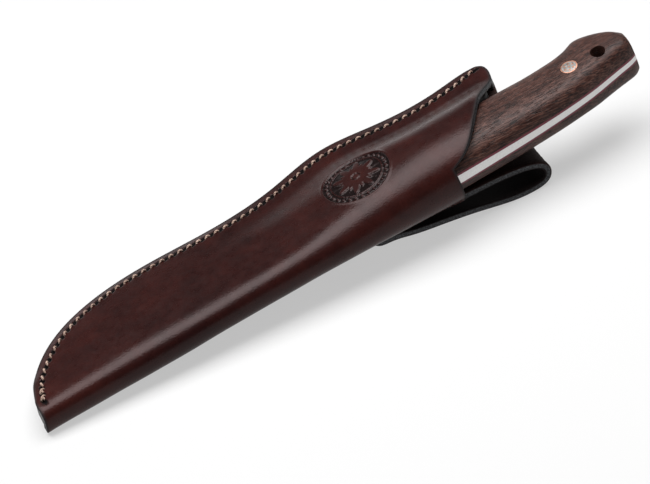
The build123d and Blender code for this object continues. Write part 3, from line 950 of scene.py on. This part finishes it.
def sweep_ring(rings):
    """Vertices and faces of a solid through equal rings of points, capped at both ends."""
    size = len(rings[0])
    last = (len(rings) - 1) * size
    faces = []
    for start in range(0, last, size):
        for i in range(size):
            j = (i + 1) % size
            faces.append((start + i, start + j, start + size + j, start + size + i))
    faces.append(tuple(range(size))[::-1])
    faces.append(tuple(last + i for i in range(size)))
    return np.concatenate(rings), faces


def welt_piece():
    """The filler strip between the panels, its outer edge rounded and burnished."""
    tab = tab_curve.even(SEAM_STEP)
    edge = resample(np.r_[seam_curve.even(SEAM_STEP), tab[1:]], BOUNDARY_STEP)
    inward = quarter_turn(tangents(edge))
    w = WELT_HALF
    profile = [(WELT_WIDTH, -w), (0.7, -w), (0.28, -w + 0.12), (0.12, -w + 0.5), (0.08, 0.0),
               (0.12, w - 0.5), (0.28, w - 0.12), (0.7, w), (WELT_WIDTH, w)]
    run = run_along(edge)
    seam_length = run[-1] - np.linalg.norm(np.diff(tab, axis=0), axis=1).sum()
    rings = []
    for i, (p, n) in enumerate(zip(edge, inward)):
        u = run[i] / seam_length
        flare = WELT_FLARE * float(smooth((u - 0.87) / 0.08))
        inner = WELT_WIDTH + flare * (1 - float(smooth((u - 0.985) / 0.03)))
        ripple = 0.05 * math.sin(i * 0.71) + 0.04 * math.sin(i * 1.93)
        ring = []
        for d, z in profile:
            reach = inner if d == WELT_WIDTH else d + ripple
            ring.append((p[0] + n[0] * reach, p[1] + n[1] * reach, z))
        rings.append(ring)
    return sweep_ring(rings)


def gather(parts):
    """Several meshes as one."""
    verts, faces, base = [], [], 0
    for v, f in parts:
        verts.append(v)
        faces += [tuple(base + i for i in face) for face in f]
        base += len(v)
    return np.concatenate(verts), faces


PLUG_OUTLINE = np.array([   # Y and half height
    (-14.6, 0.15), (-14.0, 1.5), (-13.2, 2.4), (-12.0, 2.72),
    (-11.4, 2.75), (-9.8, 2.2), (-8.4, 1.62), (-7.2, 1.6),
])
PLUG_MIDDLE_Y = -11.0
PLUG_LEAN = 0.85
PLUG_RINGS = (              # X, scale about the middle, how far the top leans towards the mouth
    (0.30, 0.75, PLUG_LEAN), (0.30, 0.93, PLUG_LEAN), (0.36, 1.0, PLUG_LEAN), (6.5, 1.0, 0.0),
)


def tip_plug():
    """The pressed and burnished end of the layers at the tip, closing the fold."""
    y = np.linspace(PLUG_OUTLINE[0, 0], PLUG_OUTLINE[-1, 0], 15)
    half = np.interp(y, *PLUG_OUTLINE.T)
    tallest = PLUG_OUTLINE[:, 1].max()
    around = np.concatenate([np.c_[y, half], np.c_[y, -half][::-1]])
    share = (around[:, 1] + tallest) / (2 * tallest)
    rings = []
    for deep, inset, lean in PLUG_RINGS:
        y_in = PLUG_MIDDLE_Y + (around[:, 0] - PLUG_MIDDLE_Y) * inset
        rings.append(np.c_[deep + lean * share, y_in, around[:, 1] * inset])
    return sweep_ring(rings)


verts, faces = gather([welt_piece(), tip_plug()])
new_piece("welt_strip", verts, faces, EDGE_MAT, "sheath", ["welt"])


PLY_SIDES = 7


def ply_tube(centre, radius):
    """A thin tube round a line of points, narrower at both ends."""
    t = tangents(centre)
    up = np.array([0.0, 0.0, 1.0])
    rings = []
    for i, (p, d) in enumerate(zip(centre, t)):
        a = up - d * np.dot(up, d)
        a /= np.linalg.norm(a)
        b = np.cross(d, a)
        ends = min(i, len(centre) - 1 - i)
        r = radius * (0.45 if ends == 0 else 1.0)
        angle = np.linspace(0, 2 * math.pi, PLY_SIDES, endpoint=False)
        rings.append(p + r * (np.cos(angle)[:, None] * a + np.sin(angle)[:, None] * b))
        up = a
    return sweep_ring(rings)


PLIES = 3
PLY_R = 0.22
PLY_RING = 0.20
TWIST_MM = 2.1
STITCH_POINTS = 20
STITCH_SINK = 0.9           # how deep a stitch's ends lie in its holes
HOLE_GAP = 0.92             # from a hole's centre to where the thread comes up


def twisted_stitch(place, start, end, slant, phase, lift=0.34):
    """One stitch: three twisted plies rising out of one hole and sinking into the next.
    place(run, sideways) gives point, normal and direction on the surface."""
    t = np.linspace(0, 1, STITCH_POINTS)
    run = start + (end - start) * t
    sideways = slant * (1 - 2 * t)
    arch = np.clip(np.sin(math.pi * t), 0, 1) ** 0.42
    height = -STITCH_SINK + (STITCH_SINK + lift) * arch
    p, n, d = place(run, sideways)
    centre = p + n * height[:, None]
    direction = tangents(centre)
    b = np.cross(direction, n)
    b /= np.linalg.norm(b, axis=1)[:, None]
    a = np.cross(b, direction)
    length = run_along(centre)
    parts = []
    for k in range(PLIES):
        twist = 2 * math.pi * (length / TWIST_MM + k / PLIES) + phase
        ply = centre + PLY_RING * (np.cos(twist)[:, None] * a + np.sin(twist)[:, None] * b)
        parts.append(ply_tube(ply, PLY_R))
    return gather(parts)


def seam_place(side):
    """Place for the seam's stitches on one panel."""
    def place(run, sideways):
        at = to_pattern_fast(along_stitch_line(run, sideways), side)
        return frame_at(at[:, 0], at[:, 1])
    return place


LOCKED = 2                  # stitches sewn twice at the tip, to lock the thread
SHOWN = (0.34, 0.30)        # slant and lift of a stitch, and of the doubled one that crosses it
DOUBLED = (-0.80, 0.55)


def seam_strand(which):
    """Every stitch of one strand, front and back: it shows on alternate sides."""
    parts = []
    for side in (1, -1):
        place = seam_place(side)
        for i in range(STITCHES):
            shown = ((i + which) % 2 == 0) == (side > 0)
            if not shown and i >= LOCKED:
                continue
            a, b = stitch_at[i], stitch_at[i + 1]
            slant, lift = SHOWN if shown else DOUBLED
            parts.append(twisted_stitch(place, a + HOLE_GAP, b - HOLE_GAP, slant * side, i * 1.3, lift))
    return gather(parts)


for which, name in ((0, "seam_thread_a"), (1, "seam_thread_b")):
    verts, faces = seam_strand(which)
    new_piece(name + "_twisted", verts, faces, THREAD_MAT, "sheath", [name])


def loop_place(x):
    """Place for a row of stitches across the strap's end, on the flesh face that shows."""
    back = strap_run > STRAP_LENGTH - STRAP_RETURN
    run = float(np.interp(x, strap_fine[back][::-1, 0], strap_run[back][::-1]))

    def place(y, sideways):
        s = S_NEAR + (y - STRAP_NEAR_Y) / (STRAP_FAR_Y - STRAP_NEAR_Y) * (S_FAR - S_NEAR)
        grain = strap_surface(run + sideways, s)
        ahead = strap_surface(run + NUDGE + sideways, s) - grain
        ahead /= np.linalg.norm(ahead, axis=1)[:, None]
        across = np.tile([0.0, 1.0, 0.0], (len(y), 1))
        n = np.cross(ahead, across)
        n *= -np.sign(n[:, 2:])
        return grain + n * LEATHER, n, across
    return place


STRAP_RETURN = 60.0         # the last stretch of the strap's path, where X falls back to its end
LOOP_HOLE_GAP = 0.3
LOOP_ROWS_X = (133.4, 137.0)
LOOP_HOLES_Y = (-5.5, -2.0, 1.5, 5.0, 8.5, 12.0)
loop_parts = []
for x in LOOP_ROWS_X:
    place = loop_place(x)
    for i, (a, b) in enumerate(zip(LOOP_HOLES_Y, LOOP_HOLES_Y[1:])):
        loop_parts.append(twisted_stitch(place, a + LOOP_HOLE_GAP, b - LOOP_HOLE_GAP, 0.3, i * 1.7))
verts, faces = gather(loop_parts)
new_piece("loop_thread_twisted", verts, faces, THREAD_MAT, "sheath", ["loop_thread"])


# ---- the knife keeps its CAD nodes, with procedural materials ---------------
def knife_materials():
    """The material of each of the knife's nodes."""
    liner = liner_material()
    copper = pin_material("copper", 900, (0.62, 0.28, 0.18), (0.80, 0.43, 0.31), 0.26, 0.42)
    core = pin_material("pin_core_metal", 1100, (0.34, 0.325, 0.31), (0.50, 0.48, 0.46), 0.3, 0.45)
    materials = {
        "blade": steel_material(),
        "liner_front": liner,
        "liner_back": liner,
        "scale_front": wood_material("wenge_front", 3.1),
        "scale_back": wood_material("wenge_back", 8.7),
    }
    for end in ("front", "rear"):
        for part, metal in (("tube", copper), ("rods", copper), ("core", core)):
            materials["pin_%s_%s" % (end, part)] = metal
    return materials


for node, material in knife_materials().items():
    mesh = frame["nodes"][node].data
    mesh.materials.clear()
    mesh.materials.append(material)


# camera, light, floor
CAM_PITCH = math.radians(38.0)
CAM_TURN = math.radians(-6.0)
CAM_ROLL = math.radians(30.0)
CAM_DISTANCE = 1254.4
CAM_TARGET = Vector((116.1, -5.54, 0.0))
CAM_LENS = 200.0


def add_camera():
    """The camera fitted to the photograph, in the knife's own frame and then laid down with it."""
    c, s = math.cos(CAM_PITCH), math.sin(CAM_PITCH)
    ct, st = math.cos(CAM_TURN), math.sin(CAM_TURN)
    right = Vector((ct, c * st, -s * st))
    up = Vector((0.0, s, c))
    back = Vector((st, -c * ct, s * ct))
    right_r = right * math.cos(CAM_ROLL) - up * math.sin(CAM_ROLL)
    up_r = right * math.sin(CAM_ROLL) + up * math.cos(CAM_ROLL)
    data = bpy.data.cameras.new("photo_camera")
    data.lens = CAM_LENS
    data.sensor_width = 36.0
    data.clip_start = 0.01
    data.clip_end = 20.0
    camera = bpy.data.objects.new("photo_camera", data)
    bpy.context.scene.collection.objects.link(camera)
    basis = Matrix((right_r, up_r, back)).transposed().to_4x4()
    eye = KNIFE_TO_ROW @ (CAM_TARGET + back * CAM_DISTANCE)
    camera.matrix_world = Matrix.Translation(eye) @ lay_down @ basis
    bpy.context.scene.camera = camera


def add_softbox(name, place, aim, size, power):
    """A rectangular softbox at a place in the row frame, aimed at a point."""
    data = bpy.data.lights.new(name, "AREA")
    data.shape = "RECTANGLE"
    data.size, data.size_y = size
    data.energy = power
    lamp = bpy.data.objects.new(name, data)
    bpy.context.scene.collection.objects.link(lamp)
    place, aim = Vector(place), Vector(aim)
    lamp.rotation_euler = (aim - place).to_track_quat("-Z", "Y").to_euler()
    lamp.location = place
    lamp.visible_camera = False
    return lamp


def floor_material():
    """Matt white that glows a little, though it is no lamp: painted light that lifts the shadows on it, so
    that it looks like a studio sweep lit from all sides.
    """
    m = Nodes("floor_white")
    colour = m.ramp(m.noise(3.0, 2, 0.5), [(0.3, (0.25, 0.25, 0.25)), (0.7, (0.2525, 0.2525, 0.2525))])
    # painted light: the floor's emission lifts its shadows
    return m.done(Base_Color=colour, Roughness=0.9, Specular_IOR_Level=0.1,
                  Emission_Color=(1.0, 1.0, 1.0), Emission_Strength=0.50)


def add_floor(half):
    mesh = bpy.data.meshes.new("studio_floor")
    corners = [(-half, -half, 0), (half, -half, 0), (half, half, 0), (-half, half, 0)]
    mesh.from_pydata(corners, [], [(0, 1, 2, 3)])
    mesh.materials.append(floor_material())
    floor = bpy.data.objects.new("studio_floor", mesh)
    bpy.context.scene.collection.objects.link(floor)


add_camera()
add_floor(4.0)
world = bpy.data.worlds.new("studio_world")
world.use_nodes = True
world.node_tree.nodes["Background"].inputs["Color"].default_value = (1, 1, 1, 1)
world.node_tree.nodes["Background"].inputs["Strength"].default_value = 0.12
bpy.context.scene.world = world
bpy.context.scene.view_settings.view_transform = "Standard"
lamps = [
    add_softbox("softbox_top", (0.02, 0.13, 1.0), (0.0, 0.02, 0.0), (1.3, 0.80), 26.0),
    add_softbox("softbox_left", (-1.5, -0.2, 0.8), (0.0, 0.0, 0.0), (0.8, 0.8), 2.5),
    add_softbox("softbox_back", (0.3, 1.9, 0.26), (0.1, 0.0, 0.05), (3.2, 0.5), 2.8),
]

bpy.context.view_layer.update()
